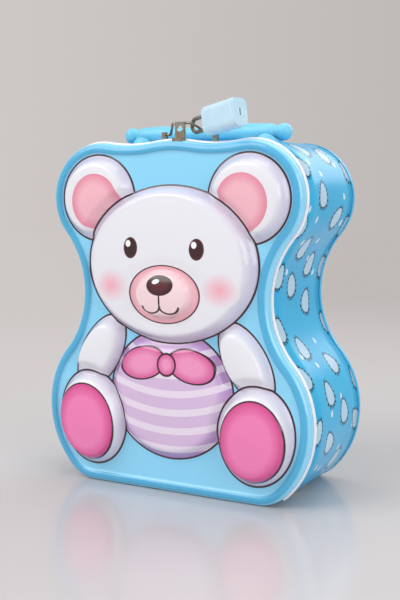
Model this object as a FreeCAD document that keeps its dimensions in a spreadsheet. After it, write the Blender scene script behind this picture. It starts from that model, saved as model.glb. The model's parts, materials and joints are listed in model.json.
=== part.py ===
import FreeCAD, Part
import math
import os

import Sketcher

# A tin money box in the shape of a sitting toy bear: a waisted tinplate band with a seamed back, a pressed
# front lid hinged along the bottom, a lift handle on top, and a wire hasp that carries a small padlock.
# The frame: x to the right, y to the back, z up, millimetres. The origin is the middle of the base.

SIZES = {
    # the outline seen from the front, as tangent arcs
    "corner_radius": 18.5,
    "hip_radius": 42.7,
    "hip_half_width": 68.6,
    "hip_height": 35.5,
    "waist_radius": 41.8,
    "ear_radius": 25.4,
    "ear_half_spacing": 38.7,
    "ear_top": 160.0,
    "valley_radius": 76.8,
    "crown_radius": 65.5,
    "crown_top": 160.4,
    # sheet metal
    "sheet": 0.6,
    "band_depth": 54.0,
    "seam_width": 1.6,
    "seam_proud": 0.4,
    "back_border": 7.0,
    "back_inset": 1.2,
    "neck_reach": 2.4,
    "neck_seat": 5.0,
    # the lid
    "lid_depth": 6.4,
    "lid_gap": 0.3,
    "lid_edge_radius": 3.0,
    "lid_clearance": 0.35,
    "bead_width": 1.8,
    "bead_proud": 0.9,
    "field_border": 4.6,
    "field_inset": 1.2,
    # the hinge along the bottom
    "knuckle_radius": 1.3,
    "knuckle_length": 12.0,
    "hinge_pin_radius": 0.6,
    "hinge_pin_hold": 0.02,
    "hinge_pin_play": 0.06,
    "knuckle_gap": 0.3,
    "leaf_length": 9.0,
    "leaf_thickness": 0.5,
    "hinge_relief": 0.35,
    "lid_swing_relief": 1.2,
    "rivet_radius": 1.1,
    "rivet_head": 0.5,
    # the coin slot
    "slot_length": 34.0,
    "slot_width": 4.6,
    "slot_back": 15.0,
    "coin_plate_lap": 5.0,
    "coin_plate_hold": 2.0,
    "coin_plate_thickness": 0.5,
    # the lift handle
    "handle_half_length": 40.2,
    "ball_radius": 4.3,
    "grip_radius": 3.6,
    "collar_radius": 4.3,
    "collar_width": 3.0,
    "collar_half_spacing": 26.0,
    "handle_gap": 0.3,
    "leg_half_spacing": 33.0,
    "leg_radius": 1.8,
    "leg_play": 0.08,
    "leg_hole_play": 0.5,
    "handle_lift": 15.0,
    "saddle_radius": 6.4,
    "saddle_groove_gap": 0.35,
    "stop_radius": 4.0,
    "stop_thickness": 1.2,
    # the hasp
    "hasp_side": 3.2,
    "strap_width": 5.0,
    "strap_thickness": 0.8,
    "strap_height": 8.0,
    "strap_foot": 3.4,
    "strap_tail": 1.6,
    "strap_eye_radius": 1.4,
    "bail_wire_radius": 0.6,
    "bail_half_width": 10.0,
    "bail_top_half_width": 4.6,
    "bail_pivot_back": 6.4,
    "bail_pivot_height": 3.0,
    "bail_gap": 0.35,
    "bail_top_drop": 0.4,
    "bail_bend_radius": 2.2,
    "lug_width": 2.0,
    "lug_depth": 2.4,
    "lug_cover": 0.6,
    "lug_play": 0.06,
    # the padlock
    "lock_length": 21.0,
    "lock_width": 12.6,
    "lock_thickness": 9.0,
    "lock_edge_radius": 3.0,
    "lock_plate": 1.2,
    "lock_plate_inset": 0.4,
    "shackle_radius": 0.9,
    "shackle_half_spacing": 3.0,
    "shackle_reach": 7.4,
    "shackle_heel": 9.0,
    "shackle_toe": 3.5,
    "shackle_play": 0.06,
    "lock_yaw": -20.0,
    "lock_pitch": -9.0,
    "lock_on_bail": 0.68,
    "lock_above_bail": 0.4,
    "plug_radius": 2.6,
    "plug_length": 11.0,
    "plug_play": 0.05,
    "keyway_width": 0.9,
    "keyway_height": 3.2,
    "keyway_depth": 5.0,
}

# The pressed forms of the bear: across, up, half width, half height, rise above the field, turn in degrees.
FORMS = {
    "ear": (38.7, 134.6, 19.8, 19.8, 6.2, 0.0),
    "head": (0.0, 105.0, 44.0, 35.5, 7.6, 0.0),
    "muzzle": (0.0, 92.0, 18.0, 13.0, 11.0, 0.0),
    "tummy": (0.0, 46.0, 32.0, 30.0, 4.8, 0.0),
    "arm": (38.0, 63.0, 10.5, 20.0, 6.8, 32.0),
    "foot": (43.0, 31.2, 18.6, 22.6, 8.0, -6.0),
}
FORM_SIZES = ("across", "up", "half_width", "half_height", "rise", "turn")

doc = FreeCAD.newDocument("money_box")
sheet = doc.addObject("Spreadsheet::Sheet", "sizes")
for form, values in FORMS.items():
    for word, value in zip(FORM_SIZES, values):
        SIZES[form + "_" + word] = value
for row, (alias, value) in enumerate(SIZES.items(), start=1):
    sheet.set("A%d" % row, alias)
    sheet.set("B%d" % row, str(value))
    sheet.setAlias("B%d" % row, alias)
doc.recompute()


def size(alias):
    """A driving size, read back from the sheet."""
    return float(sheet.get(alias))


def vec(x, y, z):
    return FreeCAD.Vector(x, y, z)


def add(kind, name, at=None, turn=None, **bound):
    """A document object whose properties and place are bound to expressions of the sheet."""
    obj = doc.addObject(kind, name)
    if turn:
        obj.Placement = FreeCAD.Placement(vec(0, 0, 0), FreeCAD.Rotation(*turn))
    for prop, expression in bound.items():
        obj.setExpression(prop, expression)
    for axis, expression in zip("xyz", at or ()):
        obj.setExpression("Placement.Base." + axis, expression)
    return obj


def fuse(name, *shapes):
    obj = doc.addObject("Part::MultiFuse", name)
    obj.Shapes = list(shapes)
    return obj


def cut(name, base, tool):
    obj = doc.addObject("Part::Cut", name)
    obj.Base = base
    obj.Tool = tool
    return obj


def feature(name, shape):
    obj = doc.addObject("Part::Feature", name)
    obj.Shape = shape
    return obj


# Rotations that lay a primitive's own z axis along x, or along y.
ALONG_X = (vec(0, 1, 0), 90)
ALONG_Y = (vec(1, 0, 0), -90)


# The outline and the slabs made from it

def meet(a, ra, b, rb):
    """The centre at ra from a and at rb from b, on the right of the way from a to b."""
    way = b - a
    along = (ra * ra - rb * rb + way.Length ** 2) / (2 * way.Length)
    side = math.sqrt(ra * ra - along * along)
    unit = way / way.Length
    return a + unit * along - vec(-unit.z, 0, unit.x) * side


def outline_centres():
    hip_r, corner_r = size("hip_radius"), size("corner_radius")
    hip = vec(size("hip_half_width") - hip_r, 0, size("hip_height"))
    rise = hip.z - corner_r
    corner = vec(hip.x + math.sqrt((hip_r - corner_r) ** 2 - rise ** 2), 0, corner_r)
    ear = vec(size("ear_half_spacing"), 0, size("ear_top") - size("ear_radius"))
    crown = vec(0, 0, size("crown_top") - size("crown_radius"))
    waist_r, valley_r = size("waist_radius"), size("valley_radius")
    waist = meet(hip, hip_r + waist_r, ear, size("ear_radius") + waist_r)
    valley = meet(ear, size("ear_radius") + valley_r, crown, size("crown_radius") + valley_r)
    return corner, hip, waist, ear, valley, crown


def arc_through(centre, radius, first, last):
    """An arc about centre from the direction of first to that of last, by the shorter way round."""
    start = (first - centre).normalize() * radius
    end = (last - centre).normalize() * radius
    middle = (start + end).normalize() * radius
    return centre + start, centre + middle, centre + end


def outline(offset):
    """The closed outline, moved outwards by offset, on the plane y = 0."""
    corner, hip, waist, ear, valley, crown = outline_centres()
    low = corner - vec(0, 0, size("corner_radius"))
    right = [
        arc_through(corner, size("corner_radius") + offset, low, corner * 2 - hip),
        arc_through(hip, size("hip_radius") + offset, corner, waist),
        arc_through(waist, size("waist_radius") - offset, hip, ear),
        arc_through(ear, size("ear_radius") + offset, waist, valley),
        arc_through(valley, size("valley_radius") - offset, ear, crown),
    ]
    mirrored = [tuple(vec(-p.x, p.y, p.z) for p in reversed(arc)) for arc in reversed(right)]
    top = (right[-1][2], crown + vec(0, 0, size("crown_radius") + offset), mirrored[0][0])
    arcs = [Part.Arc(*points).toShape() for points in right + [top] + mirrored]
    base = Part.LineSegment(mirrored[-1][2], right[0][0]).toShape()
    return Part.Wire(arcs + [base])


def slab(offset, front, back):
    """The outline's solid from the plane y = front to y = back."""
    face = Part.Face(outline(offset))
    face.translate(vec(0, front, 0))
    return face.extrude(vec(0, back - front, 0))


def edges_on(solid, y):
    """The edges that lie in the plane of that y."""
    tolerance = 1e-4
    return [e for e in solid.Edges if all(abs(v.Y - y) < tolerance for v in e.Vertexes)
            and abs(e.valueAt(sum(e.ParameterRange) / 2).y - y) < tolerance]


WIDE = 4 * size("hip_half_width")
EDGE_SHARE = 0.8  # how much of a thin edge its rounding takes
RUN_SHARE = 0.45  # how much of a straight run one bend may take


def above_floor(solid):
    """What is left of a solid above the plane that the box stands on."""
    return solid.cut(Part.makeBox(WIDE, WIDE, WIDE, vec(-WIDE / 2, -WIDE / 2, -WIDE)))


SHEET = size("sheet")
BAND_FRONT = -size("band_depth") / 2
BAND_BACK = size("band_depth") / 2
LID_REAR = BAND_FRONT - size("lid_gap")
LID_FRONT = LID_REAR - size("lid_depth")
FIELD = LID_FRONT + size("field_inset")

# expressions for places that several pieces share
BAND_FRONT_AT = "-sizes.band_depth / 2"
HINGE_Y = "(-sizes.band_depth / 2 - sizes.lid_gap / 2)"
HINGE_Z = "sizes.knuckle_radius"
LID_LEAF = "(sizes.lid_gap / 2 + sizes.lid_depth - sizes.lid_edge_radius - sizes.hinge_relief)"
HANDLE_Z = "(sizes.ear_top + sizes.handle_gap + sizes.ball_radius)"
BAR_ROOM = "(max(sizes.grip_radius; sizes.ball_radius; sizes.collar_radius) + sizes.saddle_groove_gap)"
STRAP_BACK = "(-sizes.band_depth / 2 - sizes.lid_gap - sizes.bead_width)"


# The body: band, back panel and neck ring

def hinge_notch(margin, front, back, height):
    """The room for the hinge at the bottom front edge."""
    half = 2 * size("knuckle_length") + size("knuckle_gap") + margin
    return Part.makeBox(2 * half, back - front, height + 1, vec(-half, front, -1))


knuckle_room = size("knuckle_radius") + size("hinge_relief")
hinge_y = BAND_FRONT - size("lid_gap") / 2
band_shape = slab(0, BAND_FRONT, BAND_BACK).cut(slab(-SHEET, BAND_FRONT - 1, BAND_BACK + 1))
band_shape = band_shape.cut(hinge_notch(size("hinge_relief"), hinge_y - knuckle_room,
                                        hinge_y + knuckle_room, size("knuckle_radius") + knuckle_room))


def slot_block(margin):
    """A block that goes down through the top round the coin slot, larger by a margin on each side."""
    length, width = size("slot_length") + 2 * margin, size("slot_width") + 2 * margin
    corner = vec(-length / 2, size("slot_back") - width / 2, size("ear_top") / 2)
    return Part.makeBox(length, width, WIDE, corner)


band_shape = band_shape.cut(slot_block(size("coin_plate_lap") - size("coin_plate_hold")))
leg_hole = Part.makeCylinder(size("leg_radius") + size("leg_hole_play"), WIDE, vec(0, 0, size("ear_top") / 2))
leg_holes = [leg_hole.translated(vec(side * size("leg_half_spacing"), 0, 0)) for side in (-1, 1)]
band_shape = band_shape.cut(Part.makeCompound(leg_holes))
body_band = feature("body_band", band_shape)

# The coin plate: a stamped plate with the slot, laid over the hole in the band's top.
plate = slab(size("coin_plate_thickness"), BAND_FRONT, BAND_BACK).cut(slab(0, BAND_FRONT - 1, BAND_BACK + 1))
plate = plate.common(slot_block(size("coin_plate_lap"))).cut(slot_block(0))
coin_plate = feature("coin_plate", plate)

seam = slab(size("seam_proud"), BAND_BACK - size("seam_width"), BAND_BACK + SHEET)
seam_edge = min(size("seam_proud"), size("seam_width")) * EDGE_SHARE
seam = seam.makeFillet(seam_edge, edges_on(seam, BAND_BACK + SHEET))
seam = seam.cut(slab(0, BAND_BACK - size("seam_width") - 1, BAND_BACK))
seam = seam.cut(slab(-size("back_border"), BAND_BACK - 1, BAND_BACK + SHEET + 1))
pan_floor = BAND_BACK - size("back_inset")
pan = slab(-size("back_border"), pan_floor, BAND_BACK + SHEET)
pan = pan.cut(slab(-size("back_border") - SHEET, pan_floor + SHEET, BAND_BACK + SHEET + 1))
back_panel = feature("back_panel", above_floor(seam.fuse(pan).removeSplitter()))

neck_front = BAND_FRONT - size("neck_reach")
neck_inner = -(2 * SHEET + size("lid_clearance"))
neck_shape = slab(-SHEET, BAND_FRONT, BAND_FRONT + size("neck_seat"))
neck_shape = neck_shape.fuse(slab(-SHEET - size("lid_clearance"), neck_front, BAND_FRONT))
neck_shape = neck_shape.cut(slab(neck_inner, neck_front - 1, BAND_FRONT + size("neck_seat") + 1))
neck_notch = hinge_notch(2 * size("hinge_relief"), neck_front - 1,
                         BAND_FRONT + size("leaf_length") + size("neck_seat"), 3 * size("knuckle_radius"))
neck_ring = feature("neck_ring", neck_shape.cut(neck_notch).removeSplitter())


# The lid: one pressed sheet with a rounded edge, a curled bead and the raised bear

def pressed_form(form, side, thinner):
    """One raised form of the bear as an ellipsoid on the field, smaller by the sheet for its hollow."""
    ball = Part.makeSphere(1)
    stretch = FreeCAD.Matrix()
    stretch.scale(size(form + "_half_width") - thinner, size(form + "_rise") - thinner,
                  size(form + "_half_height") - thinner)
    oval = ball.transformGeometry(stretch)
    oval.rotate(vec(0, 0, 0), vec(0, -1, 0), side * size(form + "_turn"))
    oval.translate(vec(side * size(form + "_across"), FIELD, size(form + "_up")))
    return oval


def pressed_bear(thinner):
    ovals = []
    for form in FORMS:
        sides = (1,) if size(form + "_across") == 0 else (-1, 1)
        ovals += [pressed_form(form, side, thinner) for side in sides]
    return ovals


lid_block = slab(0, LID_FRONT, LID_REAR)
lid_block = lid_block.makeFillet(size("lid_edge_radius"), edges_on(lid_block, LID_FRONT))
bead = slab(size("bead_proud"), LID_REAR - size("bead_width"), LID_REAR)
bead_round = min(size("bead_proud"), size("bead_width") / 2) * EDGE_SHARE
bead_edges = edges_on(bead, LID_REAR) + edges_on(bead, LID_REAR - size("bead_width"))
bead = above_floor(bead.makeFillet(bead_round, bead_edges))
lid_form = feature("lid_form", lid_block.fuse(bead).removeSplitter())

room_behind = Part.makeBox(WIDE, WIDE, WIDE, vec(-WIDE / 2, FIELD + SHEET / 2, -WIDE / 4))
raised = [oval.cut(room_behind) for oval in pressed_bear(0)]
lid_outer = lid_form.Shape.cut(slab(-size("field_border"), LID_FRONT - 1, FIELD))
lid_outer = lid_outer.fuse(raised)

hollow = slab(-SHEET, LID_FRONT + SHEET, LID_REAR + 1)
hollow = hollow.makeFillet(size("lid_edge_radius") - SHEET, edges_on(hollow, LID_FRONT + SHEET))
hollow = hollow.cut(slab(SHEET - size("field_border"), LID_FRONT, FIELD + SHEET))
hollow = hollow.fuse(pressed_bear(SHEET))
lid_shape = lid_outer.cut(hollow)
swing_room = knuckle_room + size("lid_swing_relief")
relief_half = size("hip_half_width") - size("corner_radius") + knuckle_room
lid_shape = lid_shape.cut(Part.makeBox(2 * relief_half, swing_room, 1 + 2 * knuckle_room,
                                       vec(-relief_half, hinge_y - swing_room, -1)))
lid_panel = feature("lid_panel", lid_shape)

# The hinge: two body knuckles, one lid knuckle, and the pin that they turn on


def knuckle(name, start, bore):
    """A rolled knuckle along x with its bore, from start, as long as knuckle_length allows."""
    length = "sizes.knuckle_length" if "body" in name else "2 * sizes.knuckle_length"
    barrel = add("Part::Cylinder", name + "_barrel", (start, HINGE_Y, HINGE_Z), ALONG_X,
                 Radius="sizes.knuckle_radius", Height=length)
    hole = add("Part::Cylinder", name + "_bore", (start + " - 1", HINGE_Y, HINGE_Z), ALONG_X,
               Radius="sizes.hinge_pin_radius + " + bore, Height=length + " + 2")
    return barrel, hole


body_hinge_parts = []
body_hinge_bores = []
for side_name, start in (("left", "-2 * sizes.knuckle_length - sizes.knuckle_gap"),
                         ("right", "sizes.knuckle_length + sizes.knuckle_gap")):
    barrel, hole = knuckle("body_knuckle_" + side_name, start, "sizes.hinge_pin_hold")
    leaf = add("Part::Box", "body_leaf_" + side_name, (start, HINGE_Y, "sizes.sheet"), None,
               Length="sizes.knuckle_length", Width="sizes.leaf_length + sizes.knuckle_radius",
               Height="sizes.leaf_thickness")
    body_hinge_parts += [barrel, leaf]
    body_hinge_bores.append(hole)
body_hinge_leaf = cut("body_hinge_leaf", fuse("body_hinge_blank", *body_hinge_parts),
                      fuse("body_hinge_holes", *body_hinge_bores))

lid_barrel, lid_bore = knuckle("lid_knuckle", "-sizes.knuckle_length", "sizes.hinge_pin_play")
lid_leaf = add("Part::Box", "lid_leaf",
               ("-sizes.knuckle_length", HINGE_Y + " - " + LID_LEAF, "sizes.sheet"), None,
               Length="2 * sizes.knuckle_length", Width=LID_LEAF, Height="sizes.leaf_thickness")
lid_hinge_leaf = cut("lid_hinge_leaf", fuse("lid_hinge_blank", lid_barrel, lid_leaf), lid_bore)

HINGE_HALF = "(2 * sizes.knuckle_length + sizes.knuckle_gap)"
hinge_pin = add("Part::Cylinder", "hinge_pin", ("-" + HINGE_HALF, HINGE_Y, HINGE_Z), ALONG_X,
                Radius="sizes.hinge_pin_radius", Height="2 * " + HINGE_HALF)

rivets = []
RIVET_ACROSS = "(sizes.knuckle_length + sizes.knuckle_gap + sizes.knuckle_length / 2)"
RIVET_BACK = BAND_FRONT_AT + " + sizes.leaf_length / 2 + sizes.knuckle_radius"
for side_name, sign in (("left", "-"), ("right", "")):
    rivets.append(add("Part::Cylinder", "hinge_rivet_" + side_name,
                      (sign + RIVET_ACROSS, RIVET_BACK, "sizes.sheet + sizes.leaf_thickness"),
                      Radius="sizes.rivet_radius", Height="sizes.rivet_head"))
hinge_rivets = doc.addObject("Part::Compound", "hinge_rivets")
hinge_rivets.Links = rivets

# The lift handle: a moulded bar with ball ends on two steel legs that slide through saddles

bar_parts = [
    add("Part::Cylinder", "grip_bar", ("-sizes.handle_half_length", "0", HANDLE_Z), ALONG_X,
        Radius="sizes.grip_radius", Height="2 * sizes.handle_half_length"),
]
for side_name, sign in (("left", "-"), ("right", "")):
    bar_end = (sign + "sizes.handle_half_length", "0", HANDLE_Z)
    bar_parts.append(add("Part::Sphere", "ball_" + side_name, bar_end, Radius="sizes.ball_radius"))
    bar_parts.append(add("Part::Cylinder", "collar_" + side_name,
                         (sign + "sizes.collar_half_spacing - sizes.collar_width / 2", "0", HANDLE_Z),
                         ALONG_X, Radius="sizes.collar_radius", Height="sizes.collar_width"))
handle_grip_blank = fuse("handle_grip_blank", *bar_parts)

legs, leg_stops, saddles, leg_sockets = [], [], [], []
LEG_FOOT = ("(sizes.crown_top - 2 * sizes.sheet - sizes.handle_lift - 2 * sizes.handle_gap"
            " - sizes.stop_thickness)")
for side_name, sign in (("left", "-"), ("right", "")):
    across = sign + "sizes.leg_half_spacing"
    leg = add("Part::Cylinder", "leg_" + side_name, (across, "0", LEG_FOOT), Radius="sizes.leg_radius",
              Height=HANDLE_Z + " - " + LEG_FOOT)
    legs.append(leg)
    leg_sockets.append(add("Part::Cylinder", "leg_socket_" + side_name, (across, "0", LEG_FOOT),
                           Radius="sizes.leg_radius", Height=HANDLE_Z + " - " + LEG_FOOT))
    leg_stops.append(add("Part::Cylinder", "stop_" + side_name,
                         (across, "0", LEG_FOOT + " - sizes.stop_thickness"),
                         Radius="sizes.stop_radius", Height="sizes.stop_thickness"))
    dome = add("Part::Sphere", "dome_" + side_name, (across, "0", "sizes.ear_top - sizes.sheet"),
               Radius="sizes.saddle_radius")
    bar_room = add("Part::Cylinder", "bar_room_" + side_name,
                   (across + " - 2 * sizes.saddle_radius", "0", HANDLE_Z), ALONG_X,
                   Radius=BAR_ROOM, Height="4 * sizes.saddle_radius")
    above_bar = add("Part::Box", "above_bar_" + side_name,
                    (across + " - 2 * sizes.saddle_radius", "-" + BAR_ROOM, HANDLE_Z),
                    Length="4 * sizes.saddle_radius", Width="2 * " + BAR_ROOM,
                    Height="2 * sizes.saddle_radius")
    leg_room = add("Part::Cylinder", "leg_room_" + side_name, (across, "0", "0"),
                   Radius="sizes.leg_radius + sizes.leg_play", Height="2 * sizes.ear_top")
    tin_top = feature("tin_top_" + side_name, slab(0, BAND_FRONT, BAND_BACK))
    rooms = fuse("saddle_rooms_" + side_name, bar_room, above_bar, leg_room, tin_top)
    saddles.append(cut("handle_saddle_" + side_name, dome, rooms))
handle_grip = cut("handle_grip", handle_grip_blank, fuse("leg_sockets", *leg_sockets))
handle_legs = doc.addObject("Part::Compound", "handle_legs")
handle_legs.Links = legs
handle_stops = doc.addObject("Part::Compound", "handle_stops")
handle_stops.Links = leg_stops

# The hasp: a strap on the lid, and a wire bail that turns in two lugs behind it

strap_foot = add("Part::Box", "strap_foot_block",
                 ("sizes.hasp_side - sizes.strap_width / 2", STRAP_BACK + " - sizes.strap_foot",
                  "sizes.crown_top - sizes.strap_tail"),
                 Length="sizes.strap_width", Width="sizes.strap_foot",
                 Height="sizes.strap_tail + sizes.strap_thickness")
strap_upright = add("Part::Box", "strap_upright",
                    ("sizes.hasp_side - sizes.strap_width / 2", STRAP_BACK + " - sizes.strap_thickness",
                     "sizes.crown_top - sizes.strap_tail"),
                    Length="sizes.strap_width", Width="sizes.strap_thickness",
                    Height="sizes.strap_tail + sizes.strap_height")
strap_eye = add("Part::Cylinder", "strap_eye",
                ("sizes.hasp_side", STRAP_BACK + " - 2 * sizes.strap_thickness",
                 "sizes.crown_top + sizes.strap_height - 2 * sizes.strap_eye_radius"), ALONG_Y,
                Radius="sizes.strap_eye_radius", Height="3 * sizes.strap_thickness")
strap_blank = fuse("strap_blank", strap_foot, strap_upright)
hasp_strap = cut("hasp_strap", strap_blank, fuse("strap_cuts", strap_eye, lid_form))


def bail_frame():
    """The bail's pivot line, the way up its plane to the top bar, and the bail's height along that way."""
    pivot = vec(size("hasp_side"), BAND_FRONT + size("bail_pivot_back"),
                size("crown_top") + size("bail_pivot_height"))
    strap_back = LID_REAR - size("bead_width")
    top = vec(pivot.x, strap_back + size("bail_gap") + size("bail_wire_radius"),
              size("crown_top") + size("strap_height") - size("bail_top_drop"))
    rise = top - pivot
    return pivot, rise / rise.Length, rise.Length


def rounded_path(points, radius):
    """Straight runs through the points, with a tangent arc of that radius at each inner point."""
    edges = []
    start = points[0]
    for before, corner, after in zip(points, points[1:], points[2:]):
        back = (before - corner).normalize()
        ahead = (after - corner).normalize()
        half_turn = back.getAngle(ahead) / 2
        room = min(before.distanceToPoint(corner), after.distanceToPoint(corner))
        run = min(radius / math.tan(half_turn), RUN_SHARE * room)
        inward = (back + ahead).normalize()
        middle = corner + inward * (run / math.cos(half_turn) - run * math.tan(half_turn))
        edges.append(Part.LineSegment(start, corner + back * run).toShape())
        edges.append(Part.Arc(corner + back * run, middle, corner + ahead * run).toShape())
        start = corner + ahead * run
    edges.append(Part.LineSegment(start, points[-1]).toShape())
    return Part.Wire(edges)


pivot, bail_way, bail_height = bail_frame()
bail_half, bail_top_half = size("bail_half_width"), size("bail_top_half_width")
lug_inner = bail_half + size("bail_bend_radius")
wire_end = lug_inner + size("lug_width")
bail_points = [pivot + vec(across, 0, 0) + bail_way * along for across, along in (
    (-wire_end, 0), (-bail_half, 0), (-bail_top_half, bail_height),
    (bail_top_half, bail_height), (bail_half, 0), (wire_end, 0))]
path = rounded_path(bail_points, size("bail_bend_radius"))
ring = Part.Wire(Part.makeCircle(size("bail_wire_radius"), bail_points[0], vec(1, 0, 0)))
hasp_bail = feature("hasp_bail", path.makePipeShell([ring], True, False))

lug_blocks = []
lug_top = pivot.z + size("bail_wire_radius") + size("lug_cover")
for start in (pivot.x - wire_end, pivot.x + lug_inner):
    block = Part.makeBox(size("lug_width"), size("lug_depth"), lug_top - size("crown_top") / 2,
                         vec(start, pivot.y - size("lug_depth") / 2, size("crown_top") / 2))
    bore = Part.makeCylinder(size("bail_wire_radius") + size("lug_play"), size("lug_width") + 2,
                             vec(start - 1, pivot.y, pivot.z), vec(1, 0, 0))
    lug_blocks.append(block.cut(bore).cut(slab(0, BAND_FRONT, BAND_BACK)))
hasp_lugs = feature("hasp_lugs", Part.makeCompound(lug_blocks))

# The padlock, made along its own x axis from the shackle's end of the case, then set in place as one

case_block = add("Part::Box", "case_block", ("0", "-sizes.lock_thickness / 2", "-sizes.lock_width / 2"),
                 Length="sizes.lock_length - sizes.lock_plate", Width="sizes.lock_thickness",
                 Height="sizes.lock_width")
doc.recompute()
long_edges = [number for number, edge in enumerate(case_block.Shape.Edges, start=1)
              if abs(edge.tangentAt(edge.FirstParameter).x) > 0.5]
rounded_case = doc.addObject("Part::Fillet", "rounded_case")
rounded_case.Base = case_block
rounded_case.Edges = [(number, size("lock_edge_radius"), size("lock_edge_radius")) for number in long_edges]

case_rooms = []
for name, rise, depth in (("heel", "sizes.shackle_half_spacing", "sizes.shackle_heel"),
                          ("toe", "-sizes.shackle_half_spacing", "sizes.shackle_toe")):
    case_rooms.append(add("Part::Cylinder", name + "_hole", ("-1", "0", rise), ALONG_X,
                          Radius="sizes.shackle_radius + sizes.shackle_play",
                          Height=depth + " + 1 + sizes.shackle_play"))
PLUG_START = "(sizes.lock_length - sizes.plug_length)"
case_rooms.append(add("Part::Cylinder", "plug_bore", (PLUG_START + " - sizes.plug_play", "0", "0"), ALONG_X,
                      Radius="sizes.plug_radius + sizes.plug_play", Height="sizes.plug_length + 1"))
lock_case = cut("lock_case", rounded_case, fuse("case_rooms", *case_rooms))

plate_block = add("Part::Box", "plate_block",
                  ("sizes.lock_length - sizes.lock_plate",
                   "-sizes.lock_thickness / 2 + sizes.lock_plate_inset",
                   "-sizes.lock_width / 2 + sizes.lock_plate_inset"),
                  Length="sizes.lock_plate", Width="sizes.lock_thickness - 2 * sizes.lock_plate_inset",
                  Height="sizes.lock_width - 2 * sizes.lock_plate_inset")
doc.recompute()
plate_edges = [number for number, edge in enumerate(plate_block.Shape.Edges, start=1)
               if abs(edge.tangentAt(edge.FirstParameter).x) > 0.5]
plate_radius = size("lock_edge_radius") - size("lock_plate_inset")
rounded_plate = doc.addObject("Part::Fillet", "rounded_plate")
rounded_plate.Base = plate_block
rounded_plate.Edges = [(number, plate_radius, plate_radius) for number in plate_edges]
plate_hole = add("Part::Cylinder", "plate_hole", (PLUG_START, "0", "0"), ALONG_X,
                 Radius="sizes.plug_radius + sizes.plug_play", Height="sizes.plug_length + 1")
lock_plate = cut("lock_plate", rounded_plate, plate_hole)

bow = add("Part::Torus", "shackle_bow", ("-sizes.shackle_reach", "0", "0"), (vec(1, 0, 0), 90),
          Radius1="sizes.shackle_half_spacing", Radius2="sizes.shackle_radius")
bow_half = add("Part::Box", "bow_half", ("-sizes.shackle_reach - 3 * sizes.shackle_half_spacing",
                                         "-2 * sizes.shackle_radius", "-3 * sizes.shackle_half_spacing"),
               Length="3 * sizes.shackle_half_spacing", Width="4 * sizes.shackle_radius",
               Height="6 * sizes.shackle_half_spacing")
half_bow = doc.addObject("Part::MultiCommon", "half_bow")
half_bow.Shapes = [bow, bow_half]
heel_leg = add("Part::Cylinder", "heel_leg",
               ("-sizes.shackle_reach", "0", "sizes.shackle_half_spacing"), ALONG_X,
               Radius="sizes.shackle_radius", Height="sizes.shackle_reach + sizes.shackle_heel")
toe_leg = add("Part::Cylinder", "toe_leg",
              ("-sizes.shackle_reach", "0", "-sizes.shackle_half_spacing"), ALONG_X,
              Radius="sizes.shackle_radius", Height="sizes.shackle_reach + sizes.shackle_toe")
lock_shackle = fuse("lock_shackle", half_bow, heel_leg, toe_leg)


def plane_of(body, role):
    return [plane for plane in body.Origin.OriginFeatures if plane.Role == role][0]


def bound_sketch(body, name, role):
    sketch = body.newObject("Sketcher::SketchObject", name)
    sketch.AttachmentSupport = [(plane_of(body, role), "")]
    sketch.MapMode = "FlatFace"
    return sketch


key_plug = doc.addObject("PartDesign::Body", "key_plug")
plug_section = bound_sketch(key_plug, "plug_section", "YZ_Plane")
plug_section.addGeometry(Part.Circle(vec(0, 0, 0), vec(0, 0, 1), size("plug_radius")))
plug_section.addConstraint(Sketcher.Constraint("Coincident", 0, 3, -1, 1))
plug_section.addConstraint(Sketcher.Constraint("Radius", 0, size("plug_radius")))
plug_section.setExpression("Constraints[1]", "sizes.plug_radius")
plug_section.setExpression("AttachmentOffset.Base.z", PLUG_START)
plug_pad = key_plug.newObject("PartDesign::Pad", "plug_pad")
plug_pad.Profile = plug_section
plug_pad.setExpression("Length", "sizes.plug_length")
doc.recompute()
solid_plug = plug_pad.Shape.Volume

keyway = bound_sketch(key_plug, "keyway", "YZ_Plane")
half_w, half_h = size("keyway_width") / 2, size("keyway_height") / 2
corners = [vec(-half_w, -half_h, 0), vec(half_w, -half_h, 0),
           vec(half_w, half_h, 0), vec(-half_w, half_h, 0)]
for number in range(4):
    keyway.addGeometry(Part.LineSegment(corners[number], corners[(number + 1) % 4]))
for number in range(4):
    keyway.addConstraint(Sketcher.Constraint("Coincident", number, 2, (number + 1) % 4, 1))
for number, direction in enumerate(("Horizontal", "Vertical", "Horizontal", "Vertical")):
    keyway.addConstraint(Sketcher.Constraint(direction, number))
keyway.addConstraint(Sketcher.Constraint("Symmetric", 0, 1, 2, 1, -1, 1))
for line, alias in ((0, "keyway_width"), (1, "keyway_height")):
    number = keyway.addConstraint(Sketcher.Constraint("Distance", line, size(alias)))
    keyway.setExpression("Constraints[%d]" % number, "sizes." + alias)
keyway.setExpression("AttachmentOffset.Base.z", "sizes.lock_length")
keyway_cut = key_plug.newObject("PartDesign::Pocket", "keyway_cut")
keyway_cut.Profile = keyway
keyway_cut.setExpression("Length", "sizes.keyway_depth")
doc.recompute()
if keyway_cut.Shape.Volume >= solid_plug:
    raise RuntimeError("the keyway cuts nothing")

# The shackle's bow goes round the sloping right side of the bail.
bail_foot, bail_corner = bail_points[4], bail_points[3]
bail_side = bail_foot + (bail_corner - bail_foot) * size("lock_on_bail")
bail_side = bail_side + vec(0, 0, size("lock_above_bail"))
lock_yaw = FreeCAD.Rotation(vec(0, 0, 1), size("lock_yaw"))
lock_turn = lock_yaw * FreeCAD.Rotation(vec(0, 1, 0), size("lock_pitch"))
bow_centre = vec(-size("shackle_reach"), 0, 0)
lock_place = FreeCAD.Placement(bail_side - lock_turn.multVec(bow_centre), lock_turn)
for piece in (lock_case, lock_plate, lock_shackle, key_plug):
    piece.Placement = lock_place

doc.recompute()

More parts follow.
